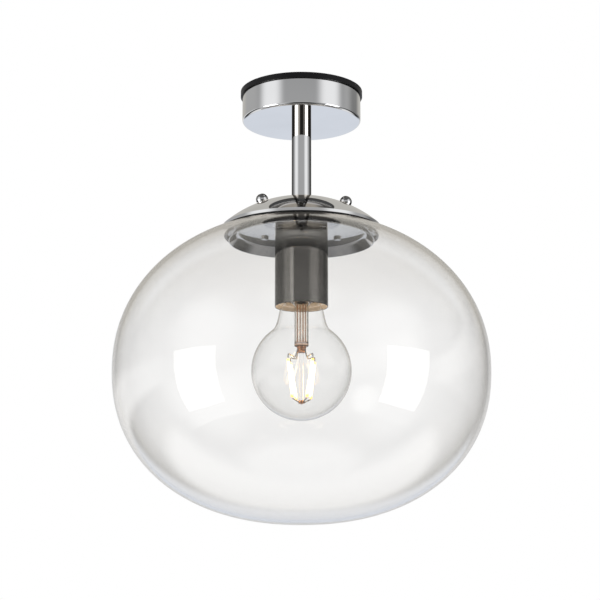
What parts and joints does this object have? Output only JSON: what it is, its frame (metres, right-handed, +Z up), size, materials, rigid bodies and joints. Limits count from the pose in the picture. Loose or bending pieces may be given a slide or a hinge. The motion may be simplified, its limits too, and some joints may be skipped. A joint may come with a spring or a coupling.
{
  "type": "ceiling light",
  "caption": "Semi-flush ceiling light: chrome canopy, stem and dome hold a clear flattened-globe glass shade around a lit filament globe bulb.",
  "frame": {"origin": "centre of the base's top face, on the ceiling plane", "axes": "+Z up into the ceiling along the stem; the light hangs toward -Z; X runs through the two ceiling slots"},
  "size_m": [0.3, 0.3, 0.3536],
  "materials": {
    "black_plastic": "smooth black moulding",
    "rubber": "matt black",
    "silicone": "dark soft ring",
    "steel": "zinc plated",
    "chrome": "mirror polished",
    "dark_chrome": "dark mirror",
    "brass": "bright",
    "white_plastic": "plain",
    "ceramic": "glazed",
    "brown_wire": "insulation",
    "blue_wire": "insulation",
    "green_wire": "insulation",
    "shade_glass": "clear blown glass",
    "bulb_glass": "clear thin glass",
    "nickel": "nickel plated",
    "black_glass": "black glass",
    "copper": "copper band",
    "filament": "lit, warm white"
  },
  "bodies": {
    "fixture": {"ceiling_base": "black_plastic", "cable_grommet": "rubber", "seat_ring": "silicone", "ceiling_strap": "steel", "canopy_side_screws": "steel", "earth_screw": "steel", "earth_lug": "steel", "block_screws": "steel", "threaded_rod": "steel", "top_washer": "steel", "top_nut": "steel", "centre_spacer": "steel", "dish_pillars": "steel", "low_washer": "steel", "low_nut": "steel", "glass_hooks": "steel", "hook_nuts": "steel", "canopy": "chrome", "stem_tube": "chrome", "holder_dome": "chrome", "holder_dish": "chrome", "dish_screws": "chrome", "socket_sleeve": "dark_chrome", "connector_sleeves": "brass", "connector_screws": "brass", "lampholder_posts": "brass", "thread_shell": "brass", "centre_contact": "brass", "connector_block": "white_plastic", "lampholder_cap": "white_plastic", "lampholder_skirt": "white_plastic", "lampholder_core": "ceramic", "live_wire": "brown_wire", "neutral_wire": "blue_wire", "earth_wire": "green_wire", "glass_shade": "shade_glass"},
    "screw_1": {"ball_screw_1": "chrome"},
    "screw_2": {"ball_screw_2": "chrome"},
    "screw_3": {"ball_screw_3": "chrome"},
    "bulb_tip": {"bulb_insulator": "black_glass", "bulb_contact": "brass"},
    "bulb": {"bulb_cap": "nickel", "bulb_glass": "bulb_glass", "bulb_mount": "bulb_glass", "mount_wires": "copper", "bulb_collar": "copper", "bulb_rod": "bulb_glass", "bulb_hub": "copper", "filaments": "filament", "top_leads": "nickel", "low_leads": "nickel"}
  },
  "joints": [
    {"name": "ball_screw_1_turn", "type": "hinge", "parent": "fixture", "child": "screw_1", "pos_m": [-0.00407, 0.03869, -0.09778], "axis": [-0.0414, 0.394, 0.9182], "range_deg": [0, 360]},
    {"name": "ball_screw_2_turn", "type": "hinge", "parent": "fixture", "child": "screw_2", "pos_m": [-0.03147, -0.02286, -0.09778], "axis": [-0.3205, -0.2328, 0.9182], "range_deg": [0, 360]},
    {"name": "ball_screw_3_turn", "type": "hinge", "parent": "fixture", "child": "screw_3", "pos_m": [0.03554, -0.01582, -0.09778], "axis": [0.3619, -0.1611, 0.9182], "range_deg": [0, 360]},
    {"name": "bulb_travel", "type": "slide", "parent": "fixture", "child": "bulb_tip", "axis": [0, 0, -1], "range_m": [0, 0.0147]},
    {"name": "bulb_turn", "type": "hinge", "parent": "bulb_tip", "child": "bulb", "pos_m": [0, 0, -0.16], "axis": [0, 0, -1], "range_deg": [0, 1440]}
  ],
  "couplings": [
    {"joint": "bulb_travel", "follows": "bulb_turn", "m_per_rad": 0.00057757}
  ]
}
